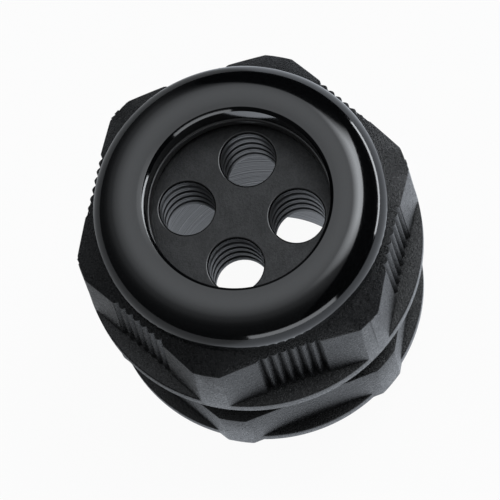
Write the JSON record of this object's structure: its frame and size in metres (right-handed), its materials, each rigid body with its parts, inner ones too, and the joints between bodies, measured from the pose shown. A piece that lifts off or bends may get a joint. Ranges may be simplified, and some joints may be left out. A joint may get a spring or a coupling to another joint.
{
  "type": "multi-hole cable gland",
  "caption": "Black nylon multi-hole cable gland: grooved hexagon cap nut with a domed ring, rubber insert with round cable holes, flanged hexagon body and entry spigot.",
  "frame": {"origin": "centre of the spigot's end face, on which the gland stands", "axes": "+Z along the cable axis, from the spigot to the cap nut's dome; +X through a corner of the body's hexagon"},
  "size_m": [0.052, 0.052, 0.058],
  "materials": {
    "body_nylon": "satin, fine moulded grain",
    "nut_nylon": "glossy dome, satin hexagon",
    "washer_nylon": "smooth",
    "insert_rubber": "matt, finely speckled",
    "seal_rubber": "smooth matt"
  },
  "bodies": {
    "root": {"gland_body": "body_nylon", "seal_insert": "insert_rubber", "flange_o_ring": "seal_rubber"},
    "washer": {"thrust_washer": "washer_nylon"},
    "nut": {"cap_nut": "nut_nylon"}
  },
  "joints": [
    {"name": "nut_travel", "type": "slide", "parent": "root", "child": "washer", "axis": [0, 0, 1], "range_m": [-0.0007, 0.012]},
    {"name": "nut_turn", "type": "hinge", "parent": "washer", "child": "nut", "pos_m": [0, 0, 0.042], "axis": [0, 0, 1], "range_deg": [-125, 2155]}
  ],
  "couplings": [
    {"joint": "nut_travel", "follows": "nut_turn", "m_per_rad": 0.00031831}
  ]
}
